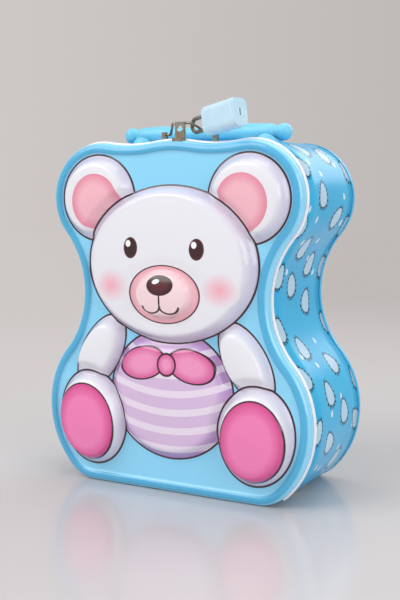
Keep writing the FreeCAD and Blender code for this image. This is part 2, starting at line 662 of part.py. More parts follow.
# Check every object, then write one file for each piece
PIECES = [body_band, coin_plate, back_panel, neck_ring, body_hinge_leaf, hinge_pin, hinge_rivets,
          lid_panel, lid_hinge_leaf, hasp_strap, hasp_lugs, hasp_bail,
          handle_grip, handle_legs, handle_stops, *saddles,
          lock_case, lock_plate, lock_shackle, key_plug]
for obj in doc.Objects:
    if "Invalid" in obj.State or "Error" in obj.State:
        raise RuntimeError("%s failed: %s" % (obj.Label, obj.State))
for piece in PIECES:
    if piece.Shape.isNull() or not piece.Shape.isValid():
        raise RuntimeError("%s has no valid shape" % piece.Label)

os.makedirs("parts", exist_ok=True)
for piece in PIECES:
    piece.Shape.exportStep(os.path.join("parts", piece.Label + ".step"))
    print("%-22s %2d solids %10.1f mm3" % (piece.Label, len(piece.Shape.Solids), piece.Shape.Volume))
print("padlock axis %s, bow centre %s" % (lock_turn.multVec(vec(1, 0, 0)), bail_side))
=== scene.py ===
import json
import math

import bmesh
import bpy
from mathutils import Matrix, Vector


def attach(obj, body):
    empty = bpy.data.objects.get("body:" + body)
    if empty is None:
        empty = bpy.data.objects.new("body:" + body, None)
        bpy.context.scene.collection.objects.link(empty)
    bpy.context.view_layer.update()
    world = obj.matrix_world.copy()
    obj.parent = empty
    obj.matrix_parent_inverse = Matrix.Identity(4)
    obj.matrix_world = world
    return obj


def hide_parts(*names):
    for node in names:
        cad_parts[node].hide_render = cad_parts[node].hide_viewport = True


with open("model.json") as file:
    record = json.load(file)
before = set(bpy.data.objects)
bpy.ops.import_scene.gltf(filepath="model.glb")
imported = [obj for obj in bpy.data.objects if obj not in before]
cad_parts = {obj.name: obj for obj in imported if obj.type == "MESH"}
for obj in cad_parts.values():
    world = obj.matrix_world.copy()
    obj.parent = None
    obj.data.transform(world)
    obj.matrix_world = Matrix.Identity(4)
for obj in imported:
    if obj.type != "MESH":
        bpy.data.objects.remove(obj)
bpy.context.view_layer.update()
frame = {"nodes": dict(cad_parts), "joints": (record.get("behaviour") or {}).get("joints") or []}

# The studio: a pale, slightly glossy table under one broad soft lamp, with weaker lamps on the
# right, behind and above, and an even sky. The table fades into the backdrop.
MM = 0.001
# the backdrop's colour on the left and on the right; the darker right is painted shade
BACKDROP_LEFT, BACKDROP_RIGHT = "#cec9c6", "#bfbab8"
BACKDROP_TURN, BACKDROP_REACH = 28.9, 0.2
TABLE = "#cdc9ca"
TABLE_RADIUS = 3.0
TABLE_FADE = (0.25, 0.95)
SKY_STRENGTH = 0.5
LAMPS = (
    # name, place, size, watts
    ("key_lamp", (-0.75, -0.95, 1.05), 1.1, 12.5),
    ("fill_lamp", (1.25, -0.55, 0.55), 0.9, 7.4),
    ("back_lamp", (0.3, 1.35, 0.9), 1.0, 7.0),
    ("top_lamp", (0.05, 0.25, 1.3), 0.8, 3.5),
)
LAMPS_AIM = Vector((0, 0, 0.08))
CAMERA_PLACE = (0.2308, -0.4241, 0.1374)
CAMERA_TILT = 90.0 - 6.081
CAMERA_TURN = 28.868
CAMERA_LENS = 60.76


def linear(hex_colour):
    """An sRGB hex colour as linear RGBA."""
    parts = [int(hex_colour[i:i + 2], 16) / 255 for i in (1, 3, 5)]
    return (*(c / 12.92 if c <= 0.04045 else ((c + 0.055) / 1.055) ** 2.4 for c in parts), 1.0)


def add(tree, kind, inputs=None, **settings):
    """One node with its settings; inputs are values or the sockets that feed them."""
    node = tree.nodes.new("ShaderNode" + kind)
    for name, value in settings.items():
        setattr(node, name, value)
    for name, value in (inputs or {}).items():
        if isinstance(value, bpy.types.NodeSocket):
            tree.links.new(value, node.inputs[name])
        else:
            node.inputs[name].default_value = value
    return node


def fresh_tree(owner):
    """The owner's node tree, emptied."""
    owner.use_nodes = True
    owner.node_tree.nodes.clear()
    return owner.node_tree


def shown_rays(tree):
    """1 for rays that show the backdrop: from the camera, off gloss or through glass."""
    path = add(tree, "LightPath")
    some = add(tree, "Math", {0: path.outputs["Is Camera Ray"], 1: path.outputs["Is Glossy Ray"]},
               operation="MAXIMUM")
    return add(tree, "Math", {0: some.outputs[0], 1: path.outputs["Is Transmission Ray"]},
               operation="MAXIMUM").outputs[0]


def backdrop(tree, towards):
    """The backdrop's colour in a direction; painted shade darkens it from left to right."""
    turn = math.radians(BACKDROP_TURN)
    across = add(tree, "VectorMath", {0: towards, 1: (math.cos(turn), math.sin(turn), 0)},
                 operation="DOT_PRODUCT").outputs["Value"]
    share = add(tree, "MapRange", {
        "Value": across, "From Min": -BACKDROP_REACH, "From Max": BACKDROP_REACH,
    }).outputs[0]
    return add(tree, "Mix", {0: share, 6: linear(BACKDROP_LEFT), 7: linear(BACKDROP_RIGHT)},
               data_type="RGBA").outputs[2]


scene = bpy.context.scene
scene.view_settings.view_transform = "Standard"
scene.world = bpy.data.worlds.new("studio_sky")
sky = fresh_tree(scene.world)
sky_light = add(sky, "Background", {"Color": (1, 1, 1, 1), "Strength": SKY_STRENGTH})
sky_ray = add(sky, "TexCoord").outputs["Generated"]
# camera and gloss rays see the backdrop colour, with its painted shade to the right
sky_shown = add(sky, "Background", {"Color": backdrop(sky, sky_ray), "Strength": 1.0})
sky_mix = add(sky, "MixShader",
              {0: shown_rays(sky), 1: sky_light.outputs[0], 2: sky_shown.outputs[0]})
add(sky, "OutputWorld", {"Surface": sky_mix.outputs[0]})

bpy.ops.object.select_all(action="DESELECT")
bpy.ops.mesh.primitive_circle_add(vertices=96, radius=TABLE_RADIUS, fill_type="NGON")
table = bpy.context.object
table.name = "table"
table_top = bpy.data.materials.new("satin_white_table")
tree = fresh_tree(table_top)
place = add(tree, "TexCoord").outputs["Object"]
reach = add(tree, "VectorMath", {0: place}, operation="LENGTH").outputs["Value"]
fade = add(tree, "MapRange", {"Value": reach, "From Min": TABLE_FADE[0], "From Max": TABLE_FADE[1]},
           interpolation_type="SMOOTHSTEP").outputs[0]
seen = add(tree, "Math", {0: fade, 1: shown_rays(tree)}, operation="MULTIPLY").outputs[0]
gloss = add(tree, "BsdfPrincipled",
            {"Base Color": linear(TABLE), "Roughness": 0.16, "Specular IOR Level": 0.5})
# far off, the table shows the backdrop colour, with its painted shade to the right
outwards = add(tree, "VectorMath", {0: place}, operation="NORMALIZE").outputs[0]
far = add(tree, "Emission", {"Color": backdrop(tree, outwards), "Strength": 1.0})
mixed = add(tree, "MixShader", {0: seen, 1: gloss.outputs[0], 2: far.outputs[0]})
add(tree, "OutputMaterial", {"Surface": mixed.outputs[0]})
table.data.materials.append(table_top)

for name, lamp_place, lamp_size, watts in LAMPS:
    lamp = bpy.data.objects.new(name, bpy.data.lights.new(name, "AREA"))
    lamp.data.size = lamp_size
    lamp.data.energy = watts
    lamp.location = lamp_place
    aim = LAMPS_AIM - lamp.location
    lamp.rotation_euler = aim.to_track_quat("-Z", "Y").to_euler()
    scene.collection.objects.link(lamp)

camera = bpy.data.objects.new("camera", bpy.data.cameras.new("camera"))
camera.data.lens = CAMERA_LENS
camera.location = CAMERA_PLACE
camera.rotation_euler = (math.radians(CAMERA_TILT), 0, math.radians(CAMERA_TURN))
scene.collection.objects.link(camera)
scene.camera = camera

# The lid's front: one sheet of tinplate, printed and varnished flat, then pressed into a
# shallow tray with a rounded edge and a raised teddy. Its skirt closes against the body.
# the radii of the outline's arcs, from the base corner up to the crown
CORNER, HIP, WAIST, EAR, VALLEY, CROWN = 18.5, 42.7, 41.8, 25.4, 76.8, 65.5
HIP_HALF_WIDTH, HIP_UP, EAR_ACROSS, EAR_TOP, CROWN_TOP = 68.6, 35.5, 38.7, 160.0, 160.4
HIP_AT = Vector((HIP_HALF_WIDTH - HIP, HIP_UP))
CORNER_AT = Vector((HIP_AT.x + math.sqrt((HIP - CORNER) ** 2 - (HIP_AT.y - CORNER) ** 2), CORNER))
EAR_AT = Vector((EAR_ACROSS, EAR_TOP - EAR))
CROWN_AT = Vector((0.0, CROWN_TOP - CROWN))
POINT_SPACING = 1.3
LID_REAR, LID_FRONT, FIELD = -27.3, -33.7, -32.5
LID_EDGE = 3.0
# inwards from the outline, and back from the front: the flat border and the step down to the field
LID_STEP = ((3.2, 0.0), (3.8, 0.1), (4.3, 0.4), (4.7, 0.85), (5.2, 1.2))
SHEET = 0.6
HINGE_ROOM_TOP, HINGE_ROOM_FRONT = 3.3, -30.0
FIELD_RINGS = 80
FIELD_CENTRE = Vector((0.0, 84.0))
EDGE_STEPS = 6
# the ovals of the teddy: across, up, half width, half height, turn in degrees
EAR_OVAL = (38.7, 134.6, 19.8, 19.8, 0)
TUMMY_OVAL = (0, 46, 32, 30, 0)
ARM_OVAL = (38, 63, 10.5, 20, 32)
FOOT_OVAL = (43, 31.2, 18.6, 22.6, -6)
HEAD_OVAL = (0, 105, 44, 35.5, 0)
SNOUT_OVAL = (0, 92, 18, 13, 0)
RAISED = (
    # oval, its rise, and the share by which the forms under it dip at its edge; later ones lie on top
    (EAR_OVAL, 6.2, 0.0), (TUMMY_OVAL, 4.8, 0.0), (ARM_OVAL, 6.8, 0.5), (FOOT_OVAL, 8.0, 0.6),
    (HEAD_OVAL, 7.6, 0.65), (SNOUT_OVAL, 11.0, 0.08),
)


def meeting(a, reach_a, b, reach_b):
    """The point right of the line from a to b, at those two distances."""
    run = b - a
    along = (reach_a ** 2 - reach_b ** 2 + run.length_squared) / (2 * run.length)
    side = math.sqrt(reach_a ** 2 - along ** 2)
    unit = run.normalized()
    return a + unit * along - Vector((-unit.y, unit.x)) * side


WAIST_AT = meeting(HIP_AT, HIP + WAIST, EAR_AT, EAR + WAIST)
VALLEY_AT = meeting(EAR_AT, EAR + VALLEY, CROWN_AT, CROWN + VALLEY)


def outline(grow=0.0):
    """The box's outline in mm, offset outwards by grow, as (across, up) points from mid-base."""
    def bearing(origin, target):
        run = target - origin
        return math.atan2(run.y, run.x)

    arcs = (
        (CORNER_AT, CORNER, 1, -math.pi / 2, bearing(HIP_AT, CORNER_AT)),
        (HIP_AT, HIP, 1, bearing(HIP_AT, CORNER_AT), bearing(HIP_AT, WAIST_AT)),
        (WAIST_AT, WAIST, -1, bearing(WAIST_AT, HIP_AT), bearing(WAIST_AT, EAR_AT)),
        (EAR_AT, EAR, 1, bearing(EAR_AT, WAIST_AT), bearing(EAR_AT, VALLEY_AT)),
        (VALLEY_AT, VALLEY, -1, bearing(VALLEY_AT, EAR_AT), bearing(VALLEY_AT, CROWN_AT)),
        (CROWN_AT, CROWN, 1, bearing(CROWN_AT, VALLEY_AT), math.pi / 2),
    )
    steps = round(CORNER_AT.x / POINT_SPACING)
    right = [Vector((CORNER_AT.x * i / steps, -grow)) for i in range(steps)]
    for centre, radius, sign, start, end in arcs:
        turn = (end - start + math.pi) % (2 * math.pi) - math.pi
        steps = max(2, round(abs(turn) * radius / POINT_SPACING))
        for i in range(steps):
            angle = start + turn * i / steps
            right.append(centre + Vector((math.cos(angle), math.sin(angle))) * (radius + sign * grow))
    top = CROWN_AT + Vector((0, CROWN + grow))
    return right + [top] + [Vector((-p.x, p.y)) for p in reversed(right[1:])]


def ring(points, depth):
    """Outline points in mm as a ring of places in metres at that depth."""
    return [Vector((p.x, depth, p.y)) * MM for p in points]


def loft(name, rings, pole=False):
    """A circle set on the first ring and extruded from ring to ring; pole closes the last."""
    bpy.ops.object.select_all(action="DESELECT")
    bpy.ops.mesh.primitive_circle_add(vertices=len(rings[0]), radius=MM)
    piece = bpy.context.object
    piece.name = piece.data.name = name
    for vertex, place in zip(piece.data.vertices, rings[0]):
        vertex.co = place
    bpy.ops.object.mode_set(mode="EDIT")
    bpy.ops.mesh.select_all(action="SELECT")
    for places in rings[1:]:
        bpy.ops.mesh.extrude_region_move()
        edge = [v for v in bmesh.from_edit_mesh(piece.data).verts if v.select]
        for vertex, place in zip(edge, places):
            vertex.co = place
    if pole:
        bpy.ops.mesh.merge(type="CENTER")
    bpy.ops.mesh.select_all(action="SELECT")
    bpy.ops.object.mode_set(mode="OBJECT")
    return piece


def flip(piece):
    """Turns every face of a piece over."""
    bpy.ops.object.mode_set(mode="EDIT")
    bpy.ops.mesh.select_all(action="SELECT")
    bpy.ops.mesh.flip_normals()
    bpy.ops.object.mode_set(mode="OBJECT")


def wall(piece, thickness):
    """Gives a sheet its thickness on the inside; the inner face takes the second material."""
    sheet = piece.modifiers.new("wall", "SOLIDIFY")
    sheet.thickness = thickness * MM
    sheet.offset = -1
    sheet.material_offset = 1
    sheet.use_rim = True
    bpy.ops.object.modifier_apply(modifier=sheet.name)


# a pressed form climbs over this width at its edge, and its top falls off by this share
WALL, DOME_FALL = 4.6, 0.3


def both_sides(oval):
    """An oval and, if it lies off the middle, its mirror image."""
    across, up, half_width, half_height, turn = oval
    return (oval, (-across, up, half_width, half_height, -turn)) if across else (oval,)


forms = [(oval, rise, dip) for middle, rise, dip in RAISED for oval in both_sides(middle)]


def eased(share):
    """0 to 1 with soft ends, held beyond them."""
    share = min(1.0, max(0.0, share))
    return share * share * (3 - 2 * share)


def pressed(point):
    """How far the teddy stands out of the field at a point, in mm."""
    height = 0.0
    for (across, up, half_width, half_height, turn), rise, dip in forms:
        run = point - Vector((across, up))
        angle = math.radians(turn)
        u = (run.x * math.cos(angle) + run.y * math.sin(angle)) / half_width
        v = (run.y * math.cos(angle) - run.x * math.sin(angle)) / half_height
        out = math.hypot(u, v)
        inside = (1 - out) * math.sqrt(half_width * half_height)
        height *= 1 - dip * eased(1 + min(0.0, inside) / WALL)
        if inside > 0:
            height = max(height, rise * (1 - DOME_FALL * out ** 2) * eased(inside / WALL))
    return height


lid_rings = [ring(outline(), LID_REAR), ring(outline(), LID_FRONT + LID_EDGE)]
for place in lid_rings[0]:
    if place.z < HINGE_ROOM_TOP * MM:
        place.y = HINGE_ROOM_FRONT * MM
for step in range(1, EDGE_STEPS + 1):
    angle = math.pi / 2 * step / EDGE_STEPS
    lid_rings.append(ring(outline(LID_EDGE * (math.cos(angle) - 1)),
                          LID_FRONT + LID_EDGE * (1 - math.sin(angle))))
for inset, depth in LID_STEP:
    lid_rings.append(ring(outline(-inset), LID_FRONT + depth))
field_edge = outline(-LID_STEP[-1][0])
for step in range(1, FIELD_RINGS):
    share = 1 - step / FIELD_RINGS
    points = [FIELD_CENTRE + (p - FIELD_CENTRE) * share for p in field_edge]
    lid_rings.append([Vector((p.x, FIELD - pressed(p), p.y)) * MM for p in points])
lid_front = loft("lid_front", lid_rings, pole=True)
if sum(f.normal.y * f.area for f in lid_front.data.polygons) > 0:
    flip(lid_front)
bpy.ops.object.shade_smooth()

# Printed tinplate: four-colour litho ink under a clear stoved varnish. It gives flat, airbrushed
# colour with dark lines, a wet gloss, a faint orange peel and slow ripples in the reflections.
FIELD_BLUE, RIM_BLUE, RUB_BLUE = "#92deff", "#50b4e0", "#b9e3f7"
FUR, FUR_SHADE = "#eeeef5", "#cfc6df"
LINING, LINING_SHADE = "#f8bcc9", "#ea8ba4"
SOLE, SOLE_SHADE = "#f682bb", "#d8428d"
KNIT, KNIT_SHADE, KNIT_STRIPE = "#dcc0e4", "#b78acb", "#f3e9f6"
RIBBON, RIBBON_SHADE = "#f59ac6", "#d9539a"
SNOUT, SNOUT_SHADE = "#fbdde2", "#f2a5b5"
BLUSH = "#f7b3c3"
INK, NOSE, GLINT = "#35101a", "#5a1c26", "#ffffff"
LINE = 0.9
THIN_LINE = 0.65
PRINT_BLUR = 0.12
PRINTED = (
    # oval, colour, shade colour at its edge, shade width, line width; later ones lie on top
    (EAR_OVAL, FUR, FUR_SHADE, 5, LINE),
    ((37.6, 133, 12.4, 12.8, 0), LINING, LINING_SHADE, 5, 0),
    (TUMMY_OVAL, KNIT, KNIT_SHADE, 7, LINE),
    (ARM_OVAL, FUR, FUR_SHADE, 4, LINE),
    (FOOT_OVAL, FUR, FUR_SHADE, 4, LINE),
    ((43.4, 29.6, 15.2, 18.4, -6), SOLE, SOLE_SHADE, 6, THIN_LINE),
    (HEAD_OVAL, FUR, FUR_SHADE, 6, LINE),
    ((12.5, 60, 12, 7.4, -12), RIBBON, RIBBON_SHADE, 5, LINE),
    ((0, 60, 4.6, 5, 0), RIBBON, RIBBON_SHADE, 3, LINE),
    ((28, 95, 9.5, 8, 0), BLUSH, FUR, 8, 0),
    (SNOUT_OVAL, SNOUT, SNOUT_SHADE, 5, THIN_LINE),
    ((0, 96.4, 6.4, 4.3, 0), NOSE, INK, 3, THIN_LINE),
    ((0, 89.4, 0.45, 3.6, 0), INK, INK, 1, 0),
    ((17, 112.5, 3.7, 4.8, 0), INK, NOSE, 1.2, 0),
)
GLINTS = ((-2, 98, 1.9, 1, 15), (15.7, 114.4, 1.3, 1.5, 0), (-18.3, 114.4, 1.3, 1.5, 0))
SMILE_OVAL, SMILE_END = (4.6, 87, 4.6, 3.2, 0), 0.3
STRIPE_PITCH, STRIPE_SHARE, STRIPE_SAG, STRIPE_INK = 8.5, 0.62, 150.0, 0.8
PEEL, RIPPLE, RUB_PATCH = 1.6, 28.0, 6.0
RIM_START, RIM_FULL = 1.0, 0.4


def oval_gap(tree, place, across, up, half_width, half_height, turn):
    """How far outside an oval a point lies, in mm; negative inside."""
    unit = add(tree, "Mapping", {
        "Vector": place, "Location": (across * MM, 0, up * MM),
        "Rotation": (0, -math.radians(turn), 0), "Scale": (half_width * MM, 1e3, half_height * MM),
    }, vector_type="TEXTURE").outputs[0]
    out = add(tree, "VectorMath", {0: unit}, operation="LENGTH").outputs["Value"]
    mean = math.sqrt(half_width * half_height)
    return add(tree, "Math", {0: out, 1: mean, 2: -mean}, operation="MULTIPLY_ADD").outputs[0]


def ramp(tree, value, low, high):
    """0 at low to 1 at high, held beyond them."""
    return add(tree, "MapRange", {"Value": value, "From Min": low, "From Max": high}).outputs[0]


def over(tree, under, share, top):
    """One colour laid over another by a share; top is a hex colour or a socket."""
    top = linear(top) if isinstance(top, str) else top
    under = linear(under) if isinstance(under, str) else under
    return add(tree, "Mix", {0: share, 6: under, 7: top}, data_type="RGBA").outputs[2]


def times(tree, a, b):
    """The product of two values."""
    return add(tree, "Math", {0: a, 1: b}, operation="MULTIPLY").outputs[0]


def line_share(tree, gap, width):
    """1 on a line of that width along an edge."""
    far = add(tree, "Math", {0: gap}, operation="ABSOLUTE").outputs[0]
    return ramp(tree, far, width / 2 + PRINT_BLUR, width / 2 - PRINT_BLUR)


def varnish(tree, place, colour, roughness=0.2, gloss=0.5, coat=0.35):
    """Ends a printed tin material: gloss, orange peel and slow ripples under the colour."""
    peel = add(tree, "TexNoise", {"Vector": place, "Scale": 1 / (PEEL * MM), "Detail": 1.0})
    ripple = add(tree, "TexNoise", {"Vector": place, "Scale": 1 / (RIPPLE * MM), "Detail": 0.0})
    slow = add(tree, "Bump", {"Height": ripple.outputs[0], "Strength": 0.35, "Distance": 0.5 * MM})
    fine = add(tree, "Bump", {"Height": peel.outputs[0], "Strength": 0.06, "Distance": 0.05 * MM,
                              "Normal": slow.outputs[0]})
    haze = add(tree, "MapRange", {"Value": ripple.outputs[0], "From Min": 0.3, "From Max": 0.7,
                                  "To Min": roughness - 0.04, "To Max": roughness + 0.06})
    shader = add(tree, "BsdfPrincipled", {
        "Base Color": colour, "Roughness": haze.outputs[0], "IOR": 1.5, "Specular IOR Level": gloss,
        "Coat Weight": coat, "Coat Roughness": 0.08, "Normal": fine.outputs[0],
    })
    add(tree, "OutputMaterial", {"Surface": shader.outputs[0]})


def rubbed_edges(tree, place, colour, rub):
    """Paler print where handling has rubbed the sharp edges, broken up by a noise."""
    edge = ramp(tree, add(tree, "NewGeometry").outputs["Pointiness"], 0.56, 0.66)
    patch = add(tree, "TexNoise",
                {"Vector": place, "Scale": 1 / (RUB_PATCH * MM), "Detail": 3.0}).outputs[0]
    return over(tree, colour, times(tree, edge, ramp(tree, patch, 0.45, 0.7)), rub)


lid_print = bpy.data.materials.new("lacquered_tinplate_teddy_print")
tree = fresh_tree(lid_print)
place = add(tree, "TexCoord").outputs["Object"]
axes = add(tree, "SeparateXYZ", {0: place}).outputs
front = ramp(tree, axes[1], (LID_FRONT + RIM_START) * MM, (LID_FRONT + RIM_FULL) * MM)
colour = over(tree, FIELD_BLUE, front, RIM_BLUE)
bow_of_knit = add(tree, "Math", {0: axes[0], 1: 2.0}, operation="POWER").outputs[0]
sagged = add(tree, "Math", {0: bow_of_knit, 1: -1 / (STRIPE_SAG * MM), 2: axes[2]},
             operation="MULTIPLY_ADD").outputs[0]
row = times(tree, sagged, 1 / (STRIPE_PITCH * MM))
in_row = add(tree, "Math", {0: row}, operation="FRACT").outputs[0]
from_stripe = add(tree, "Math", {0: in_row, 1: STRIPE_PITCH, 2: -STRIPE_PITCH / 2},
                  operation="MULTIPLY_ADD").outputs[0]
stripe = line_share(tree, from_stripe, STRIPE_PITCH * (1 - STRIPE_SHARE))
for middle, main, shade, shade_width, line in PRINTED:
    for oval in both_sides(middle):
        gap = oval_gap(tree, place, *oval)
        fill = over(tree, shade, ramp(tree, gap, 0.0, -shade_width), main)
        if middle is TUMMY_OVAL:
            fill = over(tree, fill, times(tree, stripe, STRIPE_INK), KNIT_STRIPE)
        colour = over(tree, colour, ramp(tree, gap, PRINT_BLUR, -PRINT_BLUR), fill)
        if line:
            colour = over(tree, colour, line_share(tree, gap, line), INK)
for oval in GLINTS:
    gap = oval_gap(tree, place, *oval)
    colour = over(tree, colour, ramp(tree, gap, PRINT_BLUR, -PRINT_BLUR), GLINT)
for oval in both_sides(SMILE_OVAL):
    gap = oval_gap(tree, place, *oval)
    below = ramp(tree, axes[2], (oval[1] + SMILE_END) * MM, (oval[1] - SMILE_END) * MM)
    colour = over(tree, colour, times(tree, line_share(tree, gap, LINE), below), INK)
colour = rubbed_edges(tree, place, colour, RUB_BLUE)
varnish(tree, place, colour)

# Bare tinplate: the unprinted inside of the sheet, cold rolled and tinned. Dull silver with fine
# lines along the rolling direction and soft grey clouds. The lines are drawn four times too wide.
TIN, TIN_CLOUD = "#c9cbcd", "#bcbfc3"
ROLLING_LINE, ROLLING_LENGTH, CLOUD = 0.6, 40.0, 18.0


def metal(tree, colour, rough, bump):
    """Ends a bare metal material."""
    shader = add(tree, "BsdfPrincipled", {
        "Base Color": colour, "Metallic": 1.0, "Roughness": rough, "Normal": bump,
    })
    add(tree, "OutputMaterial", {"Surface": shader.outputs[0]})


bare_tin = bpy.data.materials.new("bare_rolled_tinplate")
tree = fresh_tree(bare_tin)
place = add(tree, "TexCoord").outputs["Object"]
drawn = add(tree, "Mapping", {
    "Vector": place,
    "Scale": (1 / (ROLLING_LINE * MM), 1 / (ROLLING_LINE * MM), 1 / (ROLLING_LENGTH * MM)),
}).outputs[0]
lines = add(tree, "TexNoise", {"Vector": drawn, "Scale": 1.0, "Detail": 2.0}).outputs[0]
cloud = add(tree, "TexNoise", {"Vector": place, "Scale": 1 / (CLOUD * MM), "Detail": 4.0}).outputs[0]
colour = over(tree, TIN, ramp(tree, cloud, 0.4, 0.75), TIN_CLOUD)
rough = add(tree, "MapRange", {"Value": lines, "To Min": 0.28, "To Max": 0.46}).outputs[0]
bump = add(tree, "Bump", {"Height": lines, "Strength": 0.12, "Distance": 0.03 * MM}).outputs[0]
metal(tree, colour, rough, bump)

for material in (lid_print, bare_tin):
    lid_front.data.materials.append(material)
wall(lid_front, SHEET)
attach(lid_front, "lid")
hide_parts("lid_panel")

# The white bead: the rolled rim of the lid's skirt, left white by the print. It runs round the
# sides and the top, and stops at the hinge, where the lid needs room to swing.
BEAD_WIDTH, BEAD_PROUD = 1.8, 0.9
BEAD_STEPS = 12
ENAMEL, ENAMEL_DUST, DUST_PATCH = "#fbfbff", "#eeeef6", 9.0
bead_path = [p for p in outline() if p.y > HINGE_ROOM_TOP]
first = next(i for i, p in enumerate(outline()) if p.y > HINGE_ROOM_TOP)
grown = outline(1.0)[first:first + len(bead_path)]
bead_rings = []
for point, beyond in zip(bead_path, grown):
    away = beyond - point
    section = []
    for step in range(BEAD_STEPS):
        angle = 2 * math.pi * step / BEAD_STEPS
        p = point + away * BEAD_PROUD * math.cos(angle)
        section.append(Vector((p.x, LID_REAR - BEAD_WIDTH / 2 * (1 + math.sin(angle)), p.y)) * MM)
    bead_rings.append(section)


def deselect_parts(piece):
    """Clears the selection of a piece's faces, edges and vertices."""
    for part in (*piece.data.polygons, *piece.data.edges, *piece.data.vertices):
        part.select = False


def close_first_ring(piece, count, pole=False):
    """Closes the open end that the first ring left, flat or drawn to a pole."""
    deselect_parts(piece)
    for vertex in piece.data.vertices:
        vertex.select = vertex.index < count
    bpy.ops.object.mode_set(mode="EDIT")
    bpy.ops.mesh.select_mode(type="VERT")
    if pole:
        bpy.ops.mesh.merge(type="CENTER")
    else:
        bpy.ops.mesh.edge_face_add()
    bpy.ops.mesh.select_all(action="SELECT")
    bpy.ops.mesh.normals_make_consistent(inside=False)
    bpy.ops.object.mode_set(mode="OBJECT")


lid_bead = loft("lid_bead", bead_rings, pole=True)
close_first_ring(lid_bead, BEAD_STEPS)
bpy.ops.object.shade_smooth_by_angle(angle=math.radians(50))
white_enamel = bpy.data.materials.new("white_stoved_enamel")
tree = fresh_tree(white_enamel)
place = add(tree, "TexCoord").outputs["Object"]
dust = add(tree, "TexNoise", {"Vector": place, "Scale": 1 / (DUST_PATCH * MM), "Detail": 4.0}).outputs[0]
colour = over(tree, ENAMEL, ramp(tree, dust, 0.45, 0.8), ENAMEL_DUST)
varnish(tree, place, colour)
lid_bead.data.materials.append(white_enamel)
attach(lid_bead, "lid")
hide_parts("lid_panel")

# The body band: one long strip of printed tinplate bent round to the outline and locked to itself
# under the base. Its top is punched for the coin plate and for the two legs of the handle.
BAND_FRONT, BAND_BACK, BAND_STEPS, BAND_MIDDLE = -27.0, 27.0, 6, 70.0
KNUCKLE_HALF, KNUCKLE_ROOM_BACK = 24.7, -25.5
COIN_HOLE_LENGTH, COIN_HOLE_WIDTH, COIN_HOLE_BACK = 40.0, 10.6, 15.0
LEG_ACROSS, LEG_HOLE = 33.0, 2.3
PUNCH_UP, PUNCH_REACH, PUNCH_SIDES = 155.0, 40.0, 40
DULL_VARNISH = {"roughness": 0.26, "gloss": 0.2, "coat": 0.03}
BAND_BLUE, BAND_SHADE, BAND_CLOUD = "#46bbe9", "#3eb0e0", 45.0
LEAF, LEAF_INK, FLECK = "#b9d9ec", "#1c3f58", "#f0f6fb"
LEAF_CELL, LEAF_HALF, LEAF_JITTER = (25.0, 16.5), (5.6, 4.0), (8.0, 4.4)
FLECK_CELL, FLECK_HALF, FLECK_JITTER = (13.0, 10.8), (1.6, 0.95), (8.0, 6.0)
LEAF_LINE, LEAF_ROUND = 0.5, 0.3
FRILL_DOTS, FRILL_WIDTH, FRILL_OUT = 17.0, 1.1, 0.6
ROW_SHIFT = 0.37
DROP_BLUR = 0.15
LEAF_TURN, FLECK_TURN, LEAF_SEED, FLECK_SEED = 1.5, 1.2, 2.0, 5.0
FLECKS_LEFT_OUT, FLECK_SHARE = 0.5, 0.85

band_outline = outline()
band_rings = []
for step in range(BAND_STEPS + 1):
    band_rings.append(ring(band_outline, BAND_FRONT + (BAND_BACK - BAND_FRONT) * step / BAND_STEPS))
for place in band_rings[0]:
    if place.z < 0.1 * MM and abs(place.x) < KNUCKLE_HALF * MM:
        place.y = KNUCKLE_ROOM_BACK * MM
body_skin = loft("body_skin", band_rings)
first_face = body_skin.data.polygons[0]
outwards = first_face.center - Vector((0, first_face.center.y, BAND_MIDDLE * MM))
if first_face.normal.dot(outwards) < 0:
    flip(body_skin)
around = [0.0]
for a, b in zip(band_outline, band_outline[1:] + band_outline[:1]):
    around.append(around[-1] + (b - a).length * MM)
unrolled = body_skin.data.uv_layers.new(name="unrolled")
for face in body_skin.data.polygons:
    along = [around[v % len(band_outline)] for v in face.vertices]
    if max(along) - min(along) > around[-1] / 2:
        along = [u if u > around[-1] / 2 else u + around[-1] for u in along]
    for loop, vertex, u in zip(face.loop_indices, face.vertices, along):
        unrolled.data[loop].uv = (u, body_skin.data.vertices[vertex].co.y)
bpy.ops.object.shade_smooth()

body_print = bpy.data.materials.new("lacquered_tinplate_leaf_print")
tree = fresh_tree(body_print)
place = add(tree, "TexCoord").outputs["Object"]
strip = add(tree, "UVMap", uv_map="unrolled").outputs[0]


